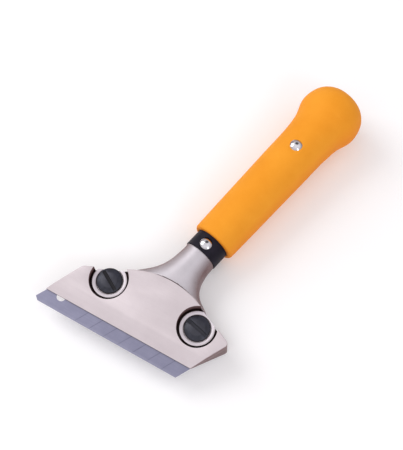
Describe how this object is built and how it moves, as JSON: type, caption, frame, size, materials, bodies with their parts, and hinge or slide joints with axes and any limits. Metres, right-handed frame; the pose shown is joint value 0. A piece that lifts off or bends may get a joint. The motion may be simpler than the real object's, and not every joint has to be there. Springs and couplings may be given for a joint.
{
  "type": "floor scraper",
  "caption": "Hand scraper with a snap-off blade clamped across a wedge-shaped cast head and a knobbed elastomer grip on a tube.",
  "frame": {"origin": "middle of the blade's cutting edge, on the blade's upper face", "axes": "+X along the cutting edge, +Y back towards the handle, +Z square to the blade on the clamp plate's side"},
  "size_m": [0.1226, 0.2172, 0.0426],
  "materials": {
    "cast_metal": "fine bead-blasted casting",
    "plate_metal": "satin, faintly brushed",
    "blade_steel": "ground, lightly oiled",
    "black_steel": "black oxide, satin",
    "zinc_steel": "zinc plated",
    "spring_steel": "phosphated",
    "black_tube": "black powder coat, satin",
    "core_plastic": "moulded",
    "plug_plastic": "moulded, matte",
    "chrome": "polished",
    "orange_rubber": "matte elastomer"
  },
  "bodies": {
    "head": {"head_casting": "cast_metal", "thread_insert_left": "zinc_steel", "thread_insert_right": "zinc_steel", "handle_tube": "black_tube", "tube_core": "core_plastic", "end_plug": "plug_plastic", "neck_rivet": "chrome", "grip_rivet": "chrome", "grip_sleeve": "orange_rubber"},
    "plate": {"clamp_plate": "plate_metal"},
    "blade": {"blade": "blade_steel"},
    "left_washer": {"screw_washer_left": "zinc_steel"},
    "left_screw": {"clamp_screw_left": "black_steel", "retaining_ring_left": "spring_steel"},
    "right_washer": {"screw_washer_right": "zinc_steel"},
    "right_screw": {"clamp_screw_right": "black_steel", "retaining_ring_right": "spring_steel"}
  },
  "joints": [
    {"name": "blade_draw", "type": "slide", "parent": "head", "child": "blade", "axis": [0, -1, 0], "range_m": [0, 0.012]},
    {"name": "plate_lift", "type": "slide", "parent": "head", "child": "plate", "axis": [0, 0, 1], "range_m": [0, 0.00187]},
    {"name": "left_screw_lift", "type": "slide", "parent": "head", "child": "left_washer", "axis": [0, 0, 1], "range_m": [0, 0.00187]},
    {"name": "left_screw_turn", "type": "hinge", "parent": "left_washer", "child": "left_screw", "pos_m": [-0.0141, 0.0312, 0], "axis": [0, 0, 1], "range_deg": [0, 540]},
    {"name": "right_screw_lift", "type": "slide", "parent": "head", "child": "right_washer", "axis": [0, 0, 1], "range_m": [0, 0.00187]},
    {"name": "right_screw_turn", "type": "hinge", "parent": "right_washer", "child": "right_screw", "pos_m": [0.0469, 0.0312, 0], "axis": [0, 0, 1], "range_deg": [0, 540]}
  ],
  "couplings": [
    {"joint": "left_screw_lift", "follows": "plate_lift", "ratio": 1},
    {"joint": "left_screw_turn", "follows": "plate_lift", "rad_per_m": 5026.5},
    {"joint": "right_screw_lift", "follows": "plate_lift", "ratio": 1},
    {"joint": "right_screw_turn", "follows": "plate_lift", "rad_per_m": 5026.5}
  ]
}
